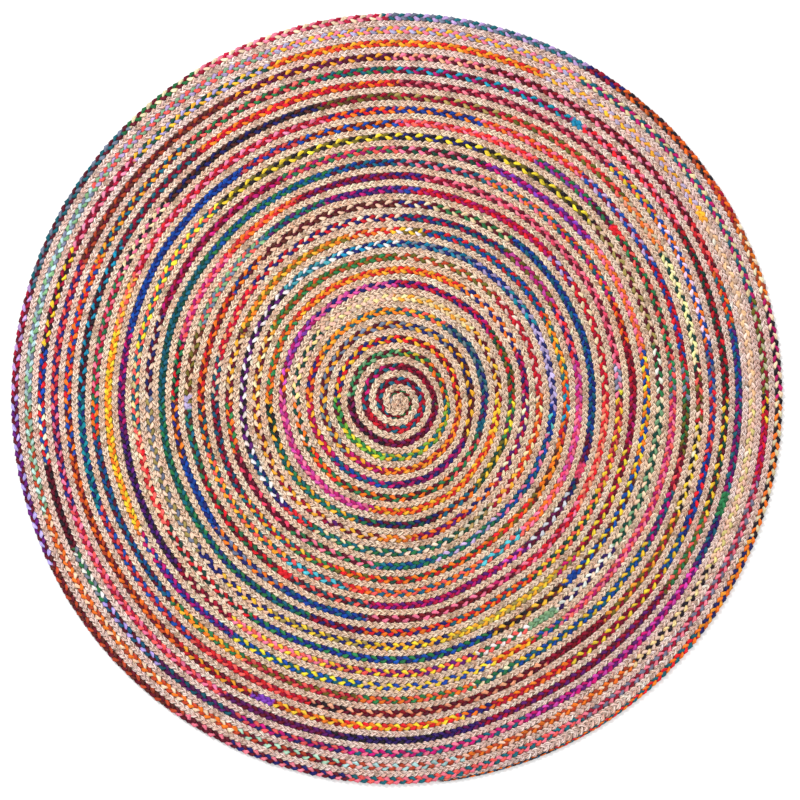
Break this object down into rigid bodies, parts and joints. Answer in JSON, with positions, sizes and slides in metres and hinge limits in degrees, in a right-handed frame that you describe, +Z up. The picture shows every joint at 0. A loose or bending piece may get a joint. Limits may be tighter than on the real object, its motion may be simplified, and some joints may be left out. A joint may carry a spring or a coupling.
{
  "type": "braided rug",
  "caption": "Round flat rug of natural jute plait and multicoloured cotton rag plait, wound together in a flat spiral and sewn edge to edge.",
  "frame": {"origin": "centre of the underside, on the surface the rug lies on", "axes": "+Z up out of the rug's face; the rim ends of the plaits are just to the +X side of -Y"},
  "size_m": [1.8296, 1.8296, 0.0095],
  "materials": {
    "jute": "matt natural jute, plied yarns in a three-strand plait",
    "rag_cotton": "matt dyed cotton rag strips of many colours in a three-strand plait"
  },
  "bodies": {
    "root": {"jute_braid": "jute", "rag_braid": "rag_cotton"}
  },
  "joints": []
}
